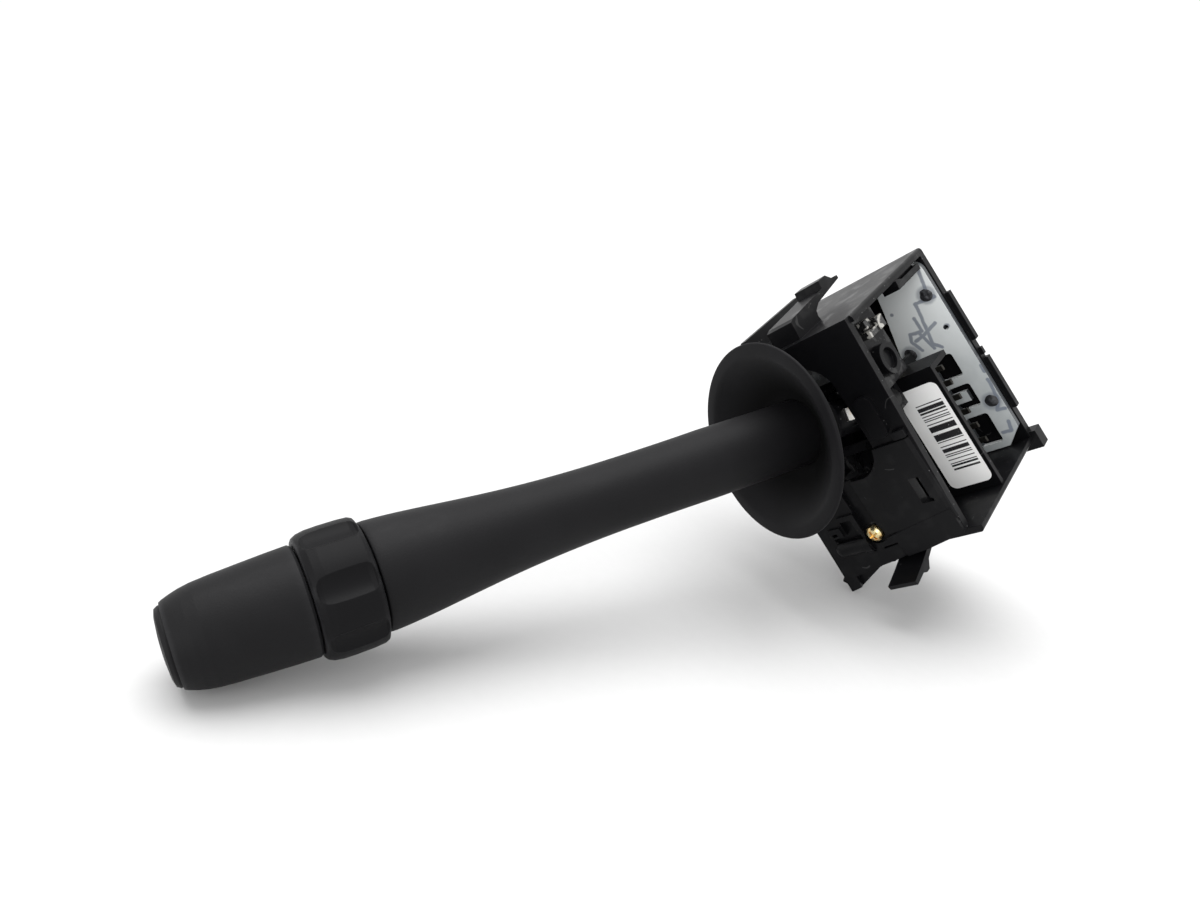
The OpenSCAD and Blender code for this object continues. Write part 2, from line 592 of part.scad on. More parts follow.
// Dust cup: a bell round the lever with a wide round lip. Its back is a cone that stays
// clear of the front face when the lever is both raised and pulled.
cup_wall = 1.3;
cup_hub_r = 9.4;
cup_hub_u = 19.4;
cone_r = [11, cup_r - 0.6];
cone_u = [cup_u - 9.1, cup_u - 1.25];
module dust_cup() color(black) on_lever() {
    bore = root_r + seat_gap;
    lip_r = cup_r - cup_lip;
    floor_u = cone_u[0] - 0.1;
    bowl_u = cup_u - 2.1;
    turned() polygon(concat(
        [[bore, cup_hub_u], [cup_hub_r - 0.4, cup_hub_u], [cup_hub_r, cup_hub_u + 0.4],
            [cup_hub_r, cone_u[0] - 1.2], [cone_r[0], cone_u[0]], [cone_r[1], cone_u[1]]],
        [for (a = [-60 : 30 : 90]) [cup_r - 0.5 + 0.5 * cos(a), cup_u - 0.5 + 0.5 * sin(a)]],
        [for (a = [100 : 20 : 180]) [lip_r + 2 + 2 * cos(a), cup_u - 2 + 2 * sin(a)]],
        [for (k = [8 : -1 : 1]) [bore + 0.6 + (lip_r - bore - 0.6) * k / 8,
            floor_u + 0.4 + (bowl_u - floor_u - 0.4) * pow(k / 8, 1.15)]],
        [[bore + 0.5, floor_u + cup_wall - 1.1], [bore, floor_u]]));
}

// Wash contact on the lever's neck
module wash_contact() color(tin) on_lever() difference() {
    block([8.4, neck_r - 0.6, -1.6], [13, neck_r + 0.8, 1.6]);
    rod(7, 15, neck_r);
}

// Leads that run inside the core to the tip
module core_leads() color(tin) on_lever() for (a = [0, 120, 240]) rotate([a, 0, 0])
    translate([0, 1, 0]) rod(9.4, core_end - 0.3, 0.75);

// Ball and spring that hold the ring's positions
ball_r = 1.5;
ball_z = hub_r - 1.3;
module ring_detent_ball() color(steel) on_lever() translate([ring_mid, 0, ball_z]) sphere(r = ball_r);
module ring_detent_spring() color(steel) on_lever() translate([ring_mid, 0, 3]) coil(1.1, 0.22, ball_z - ball_r - 3, 4);

// Grip ring with scooped flutes
flute_phase = 12;
ring_bore = hub_r + run_gap;
module grip_ring() color(black) on_lever() difference() {
    translate([ring_u, 0, 0]) turned() polygon([[ring_bore, 0], [11.4, 0], [ring_r - 0.4, 0.35], [ring_r - 0.12, 1],
        [ring_r, 3], [ring_r, 6.5], [ring_r - 0.1, ring_len - 2.9], [ring_r - 0.4, ring_len - 1.3],
        [ring_r - 0.9, ring_len - 0.35], [11.2, ring_len], [ring_bore, ring_len],
        [ring_bore, ring_len / 2 + 1.9], [ball_z + ball_r + part_gap, ring_len / 2 + 1.9],
        [ball_z + ball_r + part_gap, ring_len / 2 - 1.9], [ring_bore, ring_len / 2 - 1.9]]);
    for (k = [0 : flute_count - 1]) rotate([k * 360 / flute_count + flute_phase, 0, 0])
        translate([ring_mid, 0, ring_r + 3.9]) rotate([0, 90, 0]) flute_tool();
}
module flute_tool() rotate_extrude($fn = 48)
    polygon([[0, -5.5], [4.2, -5.5], [4.75, -5], [5, -4.2], [5, 4.2], [4.75, 5], [4.2, 5.5], [0, 5.5]]);

// Tip cap and the button that slides in it
cap_end = cap_u + cap_len;
lip_u = cap_end - 5.4;
cap_bore = button_r + 0.25;
module tip_cap() color(black) on_lever() turned() polygon([[seat_r + seat_gap, cap_u], [cap_r - 0.4, cap_u],
    [cap_r, cap_u + 0.5], [cap_r - 0.2, cap_u + 4.6], [cap_r - 0.52, cap_u + 9.4], [cap_r - 0.88, cap_u + 14.4],
    [cap_r - 1.2, cap_u + 17.6], [cap_r - 1.6, cap_u + 19.6], [cap_r - 2.1, cap_u + 21.2],
    [cap_r - 2.6, cap_end - 0.5], [cap_bore + 0.2, cap_end], [cap_bore, cap_end - 0.3], [cap_bore, lip_u],
    [seat_r + seat_gap, lip_u]]);
module tip_switch() color(ivory) on_lever() {
    rod(core_end, core_end + 1.2, seat_r - 0.3);
    rod(core_end + 1.1, core_end + 2.6, 2.4);
}
spring_u0 = core_end + 1.2;
button_back = lip_u - 1.5;
module button_spring() color(steel) on_lever() translate([spring_u0, 0, 0]) rotate([0, 90, 0])
    coil(4.4, 0.3, button_back - spring_u0, 4);
module end_button() color(black) on_lever() turned() polygon([[0, spring_u0 + 4.1], [1.6, spring_u0 + 4.1],
    [1.6, button_back], [seat_r - 0.2, button_back], [seat_r - 0.2, lip_u - 0.1], [button_r, lip_u - 0.1],
    [button_r, cap_end + 0.4], [button_r - 0.4, cap_end + 1], [button_r * 0.8, cap_end + 1.3],
    [button_r * 0.45, cap_end + 1.55], [0, cap_end + 1.65]]);

lying() front_housing();
lying() rear_cover();
lying() terminal_plate();
lying() contact_tracks();
lying() heat_stakes();
lying() connector_socket();
lying() terminal_blades();
lying() label();
lying() cover_screws();
lying() bearing_frame();
lying() fixed_contacts();
lying() detent_block();
lying() swing_pins();
lying() swing_yoke();
lying() pull_pin();
lying() detent_spring();
lying() detent_plunger();
lying() contact_slider();
lying() slider_bridges();
lying() lever_core();
lying() lever_tube();
lying() dust_cup();
lying() wash_contact();
lying() core_leads();
lying() ring_detent_ball();
lying() ring_detent_spring();
lying() grip_ring();
lying() tip_cap();
lying() tip_switch();
lying() button_spring();
lying() end_button();
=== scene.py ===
"""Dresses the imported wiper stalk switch: finishes, small added pieces, floor, light and camera."""
import math

import bmesh
import bpy
from mathutils import Matrix, Vector, noise


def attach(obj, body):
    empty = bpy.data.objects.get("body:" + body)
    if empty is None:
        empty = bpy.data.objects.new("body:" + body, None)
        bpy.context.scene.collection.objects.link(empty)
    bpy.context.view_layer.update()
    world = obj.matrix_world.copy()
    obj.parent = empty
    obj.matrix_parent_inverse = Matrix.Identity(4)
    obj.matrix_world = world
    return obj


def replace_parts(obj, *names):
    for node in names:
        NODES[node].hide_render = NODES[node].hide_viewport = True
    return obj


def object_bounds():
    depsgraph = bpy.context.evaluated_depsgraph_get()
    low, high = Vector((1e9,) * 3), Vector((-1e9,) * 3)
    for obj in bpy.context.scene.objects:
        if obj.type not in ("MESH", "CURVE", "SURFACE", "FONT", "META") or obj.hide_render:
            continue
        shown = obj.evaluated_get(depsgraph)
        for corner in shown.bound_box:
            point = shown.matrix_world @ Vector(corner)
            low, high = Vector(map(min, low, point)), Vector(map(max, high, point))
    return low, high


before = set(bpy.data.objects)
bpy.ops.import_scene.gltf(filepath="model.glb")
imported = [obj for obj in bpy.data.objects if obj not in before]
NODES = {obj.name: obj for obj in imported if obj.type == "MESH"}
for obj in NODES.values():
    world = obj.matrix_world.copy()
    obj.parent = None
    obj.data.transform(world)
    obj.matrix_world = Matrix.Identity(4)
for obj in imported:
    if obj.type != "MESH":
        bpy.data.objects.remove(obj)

CAD_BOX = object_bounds()
MM = 0.001
IN_MM = 1 / MM

# The switch lies on its case, so its own directions lean in the frame
OUT = Vector((-0.48397748, -0.80547379, -0.34202014))
MOUTH = Vector((0.51912982, -0.57891589, 0.62877709))
UP = OUT.cross(MOUTH)
LEVER = (0.9165 * OUT - 0.2504 * MOUTH + 0.3120 * UP).normalized()


def at(out, mouth, up):
    """A point in mm from the middle of the rear seat, given along the switch's own directions."""
    return (out * OUT + mouth * MOUTH + up * UP) * MM


PIVOT = at(33, 4.1, 4.3)

# Heat stakes: (mouth, up) places in mm; their heads' radius, the tip's radius, and both ends along out
STAKES = [(17.8, 19), (5.2, 5.7), (18.1, -14.7)]
HEAD_R = 2.05
HEAD_TIP_R = 0.15
HEAD_UNDER = 4.35
HEAD_TOP = 5.45

# The label's low corner (mouth, up) and its size; the bars' reach across and down it, and their module
LABEL_LOW = (7.9, -26.5)
LABEL_SIZE = (11.6, 29.6)
BARS_ACROSS = (3.4, 10.7)
BARS_DOWN = (4.5, 24.6)
BAR_MODULE = 0.27

# Along the lever from its pivot: the tube's foot, root, waist and end, and the cup's lip
TUBE_FOOT = 19.2
ROOT_END = 52
WAIST_AT = 76
TUBE_END = 131.25
LIP_AT = 34

# Radii of the tube at its root and waist, how much it flares, and its bore
ROOT_R = 8.16
WAIST_R = 7.85
FLARE = 3.1
BORE_R = 6.1

# Tracks that show through the milky plate: corner points (mouth, up) in mm
TRACKS = [
    [(19.6, 26.2), (18.9, 22.6), (18.3, 19.6), (19.6, 17.7), (13.9, 18.1), (13.8, 16.2),
     (12.4, 6.2), (14.2, 4.4)],
    [(11.6, 14.7), (11.6, 10.6), (8.1, 11.0), (7.4, 8.9), (8.8, 5.6)],
    [(10.7, 10.2), (12.2, 5.0)],
    [(16.0, 11.2), (11.3, 9.3), (8.6, 8.7)],
    [(20.3, -8.6), (20.2, -11.4), (19.6, -15.2), (18.2, -17.6), (20.2, -17.9)],
    [(19.2, -21.6), (18.6, -24.4), (16.2, -24.2)],
    [(20.7, -4.4), (20.6, -6.2)],
]
TRACK_HALF = 0.32
TRACK_SOFT = 0.34

# Dots in the plate: place, solid radius and soft rim; and the dark halo round each stake
PLATE_DOTS = [((18.3, 9.2), 0.45, 0.525), ((6.6, 18.2), 0.3, 0.35)]
HALO_R = 2.0
HALO_SOFT = 1.1

# The camera: its place in mm and its directions, all along out, mouth and up, and its lens
EYE = (221.3, 128.3, 60.6)
EYE_RIGHT = (-0.58785, 0.58540, -0.55833)
EYE_DOWN = (0.49306, -0.28789, -0.82098)
EYE_AHEAD = (-0.64134, -0.75791, -0.11940)
LENS = 25.95

# Lamps: turn and lean in degrees, strength, and the width of the light in degrees
LAMPS = {"ceiling_light": (235, 12, 2.9, 56), "front_light": (335, 72, 1.1, 50)}
ROOM_STRENGTH = 1.03
FLOOR_HALF = 6


class Level:
    """A value that changes over a surface. Sums and products with it add Math nodes."""

    def __init__(self, finish, socket):
        self.finish = finish
        self.socket = socket

    def __add__(self, other):
        return self.finish.maths("ADD", self, other)

    def __radd__(self, other):
        return self.finish.maths("ADD", other, self)

    def __sub__(self, other):
        return self.finish.maths("SUBTRACT", self, other)

    def __rsub__(self, other):
        return self.finish.maths("SUBTRACT", other, self)

    def __mul__(self, other):
        return self.finish.maths("MULTIPLY", self, other)

    def __rmul__(self, other):
        return self.finish.maths("MULTIPLY", other, self)

    def __truediv__(self, other):
        return self.finish.maths("DIVIDE", self, other)

    def __gt__(self, other):
        return self.finish.maths("GREATER_THAN", self, other)

    def __lt__(self, other):
        return self.finish.maths("LESS_THAN", self, other)

    def __pow__(self, other):
        return self.finish.maths("POWER", self, other)

    def __abs__(self):
        return self.finish.maths("ABSOLUTE", self)

    def floor(self):
        return self.finish.maths("FLOOR", self)

    def from_to(self, low, high):
        """0 below low, 1 above high, smooth between; the other way round where high is the lower."""
        rise = self.finish.node("ShaderNodeMapRange", {"interpolation_type": "SMOOTHSTEP"},
                                {"Value": self, "From Min": min(low, high), "From Max": max(low, high)})
        return rise if low < high else 1 - rise


class Finish:
    """One procedural material, built on a Principled shader."""

    def __init__(self, name, **constants):
        self.material = bpy.data.materials.new(name)
        self.material.use_nodes = True
        self.tree = self.material.node_tree
        self.tree.nodes.clear()
        self.shader = self.tree.nodes.new("ShaderNodeBsdfPrincipled")
        self.output = self.tree.nodes.new("ShaderNodeOutputMaterial")
        self.tree.links.new(self.shader.outputs["BSDF"], self.output.inputs["Surface"])
        for key, value in constants.items():
            self.shader.inputs[key.replace("_", " ").title().replace("Ior", "IOR")].default_value = value
        self.place = self.node("ShaderNodeTexCoord", {}, {}, "Object")

    def node(self, kind, settings, inputs, out=0):
        """Adds a node: its settings first, then the values or links of its sockets."""
        made = self.tree.nodes.new(kind)
        for key, value in settings.items():
            setattr(made, key, value)
        for key, value in inputs.items():
            self.feed(made.inputs[key], value)
        return Level(self, made.outputs[out])

    def feed(self, socket, value):
        """Links a level to a socket, or sets a fixed value on it."""
        if isinstance(value, Level):
            self.tree.links.new(value.socket, socket)
        elif socket.type == "RGBA" and len(value) == 3:
            socket.default_value = (*value, 1)
        else:
            socket.default_value = value

    def maths(self, operation, *values):
        """One Math node."""
        return self.node("ShaderNodeMath", {"operation": operation}, dict(enumerate(values)))

    def give(self, socket, value):
        """Feeds one of the shader's own sockets."""
        self.feed(self.shader.inputs[socket], value)

    def noise(self, size, detail=2, rough=0.5, where=None):
        """Soft noise from 0 to 1 with blotches about size mm across."""
        return self.node("ShaderNodeTexNoise", {}, {"Vector": where or self.place, "Scale": 1 / (size * MM),
                         "Detail": detail, "Roughness": rough}, "Fac")

    def cells(self, size):
        """Distance from the middle of the nearest of many cells, each about size mm across."""
        return self.node("ShaderNodeTexVoronoi", {"feature": "F1"},
                         {"Vector": self.place, "Scale": 1 / (size * MM)}, "Distance")

    def dot(self, vector, direction):
        """How much of a varying vector lies along a fixed direction."""
        return self.node("ShaderNodeVectorMath", {"operation": "DOT_PRODUCT"},
                         {0: vector, 1: direction}, "Value")

    def edges(self):
        """About 0.5 on a flat face, more on an outer edge and less in a corner."""
        return self.node("ShaderNodeNewGeometry", {}, {}, "Pointiness")

    def along(self, direction, start=Vector((0, 0, 0))):
        """How far a point lies along a direction from a start, in mm."""
        return self.dot(self.place, direction) * IN_MM - start.dot(direction) * IN_MM

    def facing(self, direction):
        """1 where the surface faces a direction of the part, 0 edge on, -1 away."""
        normal = self.node("ShaderNodeTexCoord", {}, {}, "Normal")
        return self.dot(normal, direction)

    def stretched(self, direction, squeeze):
        """Coordinates squeezed along one direction, for streaks that run along it."""
        shift = self.node("ShaderNodeVectorMath", {"operation": "SCALE"},
                          {0: direction, "Scale": self.dot(self.place, direction) * (squeeze - 1)})
        return self.node("ShaderNodeVectorMath", {"operation": "ADD"}, {0: self.place, 1: shift})

    def blend(self, share, first, second):
        """A colour between two, by share."""
        return self.node("ShaderNodeMix", {"data_type": "RGBA"}, {0: share, 6: first, 7: second}, 2)

    def relief(self, height, depth, round_edge=0.0):
        """Raises the surface by height times depth mm, over edges rounded by round_edge mm."""
        inputs = {"Height": height, "Distance": depth * MM, "Strength": 1.0}
        if round_edge:
            inputs["Normal"] = self.node("ShaderNodeBevel", {"samples": 6}, {"Radius": round_edge * MM})
        self.give("Normal", self.node("ShaderNodeBump", {}, inputs))

    def stroke(self, across, up, first, second, half, soft):
        """1 along a straight stroke between two (mouth, up) points, soft at its sides."""
        run = (second[0] - first[0], second[1] - first[1])
        reach = run[0] ** 2 + run[1] ** 2
        dy = across - first[0]
        dz = up - first[1]
        share = self.node("ShaderNodeClamp", {}, {"Value": (dy * run[0] + dz * run[1]) / reach})
        gap = ((dy - share * run[0]) ** 2 + (dz - share * run[1]) ** 2) ** 0.5
        return gap.from_to(half + soft, half)

    def spot(self, across, up, middle, radius, soft):
        """1 over a round spot, soft at its rim: a stroke of next to no length."""
        return self.stroke(across, up, middle, (middle[0] + 0.1, middle[1]), radius, soft)

    def strongest(self, levels):
        """The highest of several levels at each point."""
        top = levels[0]
        for level in levels[1:]:
            top = self.maths("MAXIMUM", top, level)
        return top

    def line(self, span, width, soft):
        """1 within width mm of where span is 0, and soft at its sides."""
        return abs(span).from_to(width + soft, width)


def stalk_plastic():
    """Fine textured matte black of the tube and the caps."""
    f = Finish("stalk_black_moulding", specular_ior_level=0.14)
    grain = f.noise(0.16, 3, 0.6)
    pits = f.cells(0.34)
    cloud = f.noise(22, 3, 0.55)
    handling = f.noise(7, 4, 0.6, f.stretched(LEVER, 0.35)).from_to(0.56, 0.78)
    rubbed = f.edges().from_to(0.52, 0.60)
    tone = f.blend(cloud.from_to(0.3, 0.75), (0.0045, 0.0044, 0.0050), (0.0068, 0.0066, 0.0074))
    tone = f.blend(rubbed * 0.4, tone, (0.03, 0.03, 0.032))
    f.give("Base Color", tone)
    f.give("Roughness", 0.50 - 0.10 * handling + 0.10 * grain)
    f.relief(grain + 0.7 * pits, 0.022, 0.22)
    return f.material


def cup_plastic():
    """The dust cup: the stalk's black, duller towards the bottom of its bowl and painted darker there as the
    bowl's shade.
    """
    f = Finish("dust_cup_black", specular_ior_level=0.1)
    grain = f.noise(0.16, 3, 0.6)
    cloud = f.noise(14, 3, 0.55)
    # painted shade: the bowl's base colour darkens from its lip towards its bottom
    depth = f.along(LEVER, PIVOT).from_to(LIP_AT - 0.5, LIP_AT - 8)
    lit = f.blend(cloud.from_to(0.3, 0.75), (0.0048, 0.0047, 0.0054), (0.007, 0.0068, 0.0078))
    f.give("Base Color", f.blend(depth, lit, (0.0015, 0.0015, 0.0016)))
    f.give("Roughness", 0.50 + 0.10 * grain + 0.25 * depth)
    f.relief(grain, 0.02, 0.5)
    return f.material


def ring_plastic():
    """The grip ring: the same black, handled smoother, with paler edges that are partly rubbed wear and
    partly a painted highlight.
    """
    f = Finish("grip_ring_black", specular_ior_level=0.1)
    grain = f.noise(0.2, 3, 0.6)
    rubbed = f.edges().from_to(0.53, 0.60)
    # paler edges: partly rubbed wear, partly a painted highlight on the flute edges
    rubbed_wear_and_highlight = rubbed * (0.5 + 0.5 * f.noise(3, 2))
    scuff = f.noise(0.9, 4, 0.7, f.stretched(LEVER, 0.2)).from_to(0.70, 0.76)
    f.give("Base Color", f.blend(rubbed_wear_and_highlight * 0.3 + 0.12 * scuff, (0.0042, 0.0041, 0.0047), (0.06, 0.06, 0.064)))
    f.give("Roughness", 0.44 + 0.12 * grain - 0.08 * rubbed_wear_and_highlight)
    f.relief(grain, 0.02, 0.3)
    return f.material


def case_plastic(name="case_black_gloss", oil=0.35):
    """Glossy black moulding of the switch case, with flow marks, dust specks and oily patches."""
    f = Finish(name, specular_ior_level=0.1, coat_roughness=0.12)
    flow = f.noise(9, 4, 0.6, f.stretched(UP, 0.4))
    fine = f.noise(0.5, 3, 0.6)
    specks = f.cells(1.3).from_to(0.13, 0.07) * (f.noise(3.5) > 0.52)
    dust = specks * f.facing(Vector((0, 0, 1))).from_to(0.1, 0.5)
    hair = f.line(f.noise(14, 2) - 0.5, 0.004, 0.003) * (f.noise(6) > 0.60)
    oily = f.noise(4.5, 3, 0.5).from_to(0.52, 0.62)
    f.give("Base Color", f.blend(dust * 0.5 + hair * 0.1, (0.0036, 0.0036, 0.0042), (0.26, 0.26, 0.26)))
    f.give("Roughness", 0.34 + 0.12 * flow + 0.25 * dust - 0.16 * oil * oily)
    f.give("Coat Weight", 0.25 * oil * oily + 0.05)
    f.relief(fine * 0.4 + flow, 0.035, 0.14)
    return f.material


def milky_plastic():
    """Milky terminal plate: the tracks show through it as blue grey, and its cut edges carry a painted
    highlight but for the one on the mouth side, which carries the cover's shade painted in."""
    f = Finish("milky_plate_resin", specular_ior_level=0.4)
    cloud = f.noise(6, 3, 0.6)
    smear = f.noise(2.2, 4, 0.6, f.stretched(UP, 0.5))
    waver = (f.noise(1.6, 2) - 0.5) * 0.5
    across = f.along(MOUTH) + waver
    up = f.along(UP) + waver
    tracks = [f.stroke(across, up, first, second, TRACK_HALF, TRACK_SOFT)
              for path in TRACKS for first, second in zip(path, path[1:])]
    dots = [f.spot(across, up, *dot) for dot in PLATE_DOTS]
    shade = f.strongest(tracks + dots)
    halo = f.strongest([f.spot(across, up, middle, HALO_R, HALO_SOFT) for middle in STAKES])
    # painted highlight: the plate's cut edges are painted pale
    painted_edge_highlight = f.facing(OUT).from_to(0.8, 0.5)
    face = f.blend(cloud.from_to(0.3, 0.7), (0.42, 0.45, 0.457), (0.49, 0.515, 0.52))
    # painted light: the plate is painted paler towards its upper end
    face = f.blend(f.along(UP).from_to(-14, 20), face, (0.80, 0.83, 0.83))
    face = f.blend(shade * (0.62 + 0.2 * cloud), face, (0.13, 0.155, 0.215))
    face = f.blend(halo * 0.55, face, (0.16, 0.18, 0.22))
    # painted shade: the mouth-side cut edge, in the cover's shade, is painted dark
    shaded = f.facing(MOUTH).from_to(0.3, 0.7)
    f.give("Base Color", f.blend(shaded, f.blend(painted_edge_highlight, face, (0.86, 0.88, 0.88)), (0.05, 0.055, 0.06)))
    f.give("Roughness", 0.26 + 0.22 * smear)
    f.relief(smear + 0.5 * cloud, 0.03, 0.15)
    return f.material


def track_metal():
    """Blue grey contact tracks under the plate."""
    f = Finish("contact_track_metal", metallic=0.6)
    dull = f.noise(1.8, 3)
    f.give("Base Color", f.blend(dull, (0.075, 0.095, 0.125), (0.14, 0.165, 0.20)))
    f.give("Roughness", 0.35 + 0.25 * dull)
    f.relief(dull, 0.02, 0.08)
    return f.material


def melted_plastic():
    """Dark grey heads of the heat stakes, melted and dull."""
    f = Finish("melted_stake_heads", specular_ior_level=0.45)
    lumps = f.noise(1.1, 4, 0.65)
    f.give("Base Color", f.blend(lumps.from_to(0.4, 0.7), (0.012, 0.012, 0.014), (0.06, 0.062, 0.068)))
    f.give("Roughness", 0.30 + 0.3 * lumps)
    f.relief(lumps, 0.25, 0.2)
    return f.material


def label_paper():
    """Off-white label with plain upright bars that say nothing."""
    f = Finish("label_paper_with_bars", specular_ior_level=0.4)
    across = f.along(MOUTH) - LABEL_LOW[0]
    down = LABEL_SIZE[1] + LABEL_LOW[1] - f.along(UP)
    row = (down / BAR_MODULE).floor()
    chance = f.node("ShaderNodeTexWhiteNoise", {"noise_dimensions": "1D"}, {"W": row * 0.731 + 3.3}, "Value")
    bars = (chance > 0.5) * (across > BARS_ACROSS[0]) * (across < BARS_ACROSS[1])
    bars = bars * (down > BARS_DOWN[0]) * (down < BARS_DOWN[1])
    outward = f.facing(OUT) > 0.7
    fibre = f.noise(0.35, 4, 0.7)
    age = f.noise(5, 2)
    paper = f.blend(age, (0.91, 0.91, 0.90), (0.96, 0.96, 0.95))
    ink = bars * outward * fibre.from_to(0.22, 0.36)
    f.give("Base Color", f.blend(ink, paper, (0.016, 0.016, 0.018)))
    f.give("Roughness", 0.55 + 0.15 * fibre - 0.1 * ink)
    f.relief(fibre + 0.8 * age, 0.012)
    return f.material


def yellow_zinc():
    """Yellow plated screws, uneven in colour as such plating is."""
    f = Finish("yellow_zinc_plating", metallic=1.0)
    patch = f.noise(1.4, 3, 0.6)
    lines = f.noise(0.2, 2, 0.5, f.stretched(UP, 0.2))
    tint = f.blend(patch.from_to(0.35, 0.65), (0.86, 0.58, 0.24), (0.78, 0.66, 0.36))
    # darker in the hollows and inner corners
    darker_in_hollows = f.edges().from_to(0.50, 0.40)
    f.give("Base Color", f.blend(darker_in_hollows * 0.7, tint, (0.10, 0.06, 0.02)))
    f.give("Roughness", 0.20 + 0.18 * lines)
    f.relief(lines, 0.01, 0.08)
    return f.material


def ivory_resin():
    """Ivory moulded blocks, slider and detent."""
    f = Finish("ivory_resin", specular_ior_level=0.5)
    cloud = f.noise(5, 3)
    fine = f.noise(0.4, 3)
    greasy = f.noise(2.5, 2).from_to(0.5, 0.62)
    f.give("Base Color", f.blend(cloud, (0.62, 0.58, 0.48), (0.74, 0.71, 0.62)))
    f.give("Roughness", 0.42 + 0.1 * fine - 0.2 * greasy)
    f.relief(fine * 0.3 + greasy, 0.04, 0.12)
    return f.material


def ivory_in_painted_shade_and_grease():
    """Small fixed blocks by the lever: ivory painted dark with shade and grease, the ivory showing only in
    small pale spots.
    """
    f = Finish("greased_ivory_blocks", specular_ior_level=0.5)
    # painted shade and grease: the blocks are dark but for small pale ivory spots
    pale_spots = f.noise(1.7, 3).from_to(0.50, 0.58)
    fine = f.noise(0.4, 3)
    f.give("Base Color", f.blend(pale_spots, (0.012, 0.012, 0.012), (0.40, 0.39, 0.36)))
    f.give("Roughness", 0.22 + 0.2 * pale_spots)
    f.relief(fine * 0.3 + pale_spots, 0.05, 0.15)
    return f.material


def blackened_pins():
    """Swing pins of blackened steel under grease."""
    f = Finish("blackened_pin_steel", metallic=0.8)
    film = f.noise(0.9, 3)
    f.give("Base Color", f.blend(film, (0.012, 0.012, 0.013), (0.04, 0.04, 0.04)))
    f.give("Roughness", 0.30 + 0.2 * film)
    f.relief(film, 0.012, 0.1)
    return f.material


def tinned_brass():
    """Tinned blades, bridges and leads, with brass showing at rubbed places."""
    f = Finish("tinned_brass", metallic=1.0)
    drawn = f.noise(0.5, 3, 0.6, f.stretched(MOUTH, 0.1))
    rubbed = f.noise(2.0, 3).from_to(0.56, 0.7)
    f.give("Base Color", f.blend(rubbed * 0.6, (0.70, 0.69, 0.66), (0.72, 0.52, 0.26)))
    f.give("Roughness", 0.25 + 0.22 * drawn)
    f.relief(drawn, 0.012, 0.06)
    return f.material


def blades_in_painted_shade():
    """Terminal blades deep in the socket: dull old tin, painted dark with the socket's shade."""
    f = Finish("dull_tinned_blades_painted_shade", metallic=1.0)
    film = f.noise(1.1, 3)
    # painted shade: the blades' colour is kept dark for the shade deep in the socket
    f.give("Base Color", f.blend(film, (0.035, 0.034, 0.033), (0.085, 0.08, 0.07)))
    f.give("Roughness", 0.4 + 0.2 * film)
    f.relief(film, 0.01, 0.06)
    return f.material


def spring_steel():
    """Springs, pins and ball."""
    f = Finish("spring_steel", metallic=1.0)
    oxide = f.noise(1.2, 3)
    f.give("Base Color", f.blend(oxide, (0.46, 0.46, 0.47), (0.60, 0.59, 0.57)))
    f.give("Roughness", 0.22 + 0.16 * oxide)
    f.relief(oxide, 0.008, 0.05)
    return f.material


def floor_paper():
    """Plain white studio sweep with a faint paper tooth."""
    f = Finish("studio_paper", specular_ior_level=0.1)
    tooth = f.noise(2.5, 3)
    f.give("Base Color", f.blend(tooth, (0.56, 0.56, 0.56), (0.58, 0.58, 0.58)))
    f.give("Roughness", 0.85 + 0.1 * tooth)
    return f.material


def dress(finish, *names):
    """Gives one finish to CAD nodes."""
    for name in names:
        NODES[name].data.materials.clear()
        NODES[name].data.materials.append(finish)


def piece(name, mesh, finish, body):
    """Makes a mesh into a piece that rides on a body."""
    mesh.materials.append(finish)
    made = bpy.data.objects.new(name, mesh)
    bpy.context.scene.collection.objects.link(made)
    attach(made, body)
    return made


def join_rings(shape, rings):
    """Makes the faces between each ring of points and the next."""
    for low, high in zip(rings, rings[1:]):
        for j in range(len(low)):
            beside = (j + 1) % len(low)
            shape.faces.new((low[j], low[beside], high[beside], high[j]))


def smooth_mesh(name, shape):
    """Ends a shape as a mesh whose faces point outwards and shade smoothly."""
    bmesh.ops.recalc_face_normals(shape, faces=shape.faces)
    for face in shape.faces:
        face.smooth = True
    mesh = bpy.data.meshes.new(name)
    shape.to_mesh(mesh)
    shape.free()
    return mesh


def turned(name, profile, sides, crease=32):
    """A mesh turned about the lever's axis from a closed outline of (radius, distance) points in mm."""
    side = LEVER.cross(UP).normalized()
    over = side.cross(LEVER)
    shape = bmesh.new()
    rings = []
    for radius, distance in profile:
        middle = PIVOT + LEVER * distance * MM
        rings.append([shape.verts.new(middle + (side * math.cos(a) + over * math.sin(a)) * radius * MM)
                      for a in (math.tau * j / sides for j in range(sides))])
    join_rings(shape, rings + rings[:1])
    mesh = smooth_mesh(name, shape)
    mesh.set_sharp_from_angle(angle=math.radians(crease))
    return mesh


def tube_radius(u):
    """Radius of the tube u mm from the pivot: straight root, waist and flare."""
    if u < ROOT_END:
        return ROOT_R
    if u < WAIST_AT:
        return WAIST_R + (ROOT_R - WAIST_R) * ((WAIST_AT - u) / (WAIST_AT - ROOT_END)) ** 2
    s = (u - WAIST_AT) / (TUBE_END - WAIST_AT)
    return WAIST_R + FLARE * (s * s + 1.8 * s ** 4 * (1 - s))


def tube_mesh():
    """The waisted tube, its end rounded towards the grip ring."""
    foot = [(BORE_R, TUBE_FOOT), (ROOT_R - 0.16, TUBE_FOOT)]
    outside = [(tube_radius(u), u) for u in (TUBE_FOOT + 0.3 + 1.6 * k for k in range(70))]
    end = [(10.87, TUBE_END - 0.35), (10.7, TUBE_END - 0.1), (10.4, TUBE_END), (9.2, TUBE_END)]
    inside = [(9.2, TUBE_END - 0.65), (BORE_R, TUBE_END - 2.25)]
    return turned("tube", foot + outside + end + inside, 160)


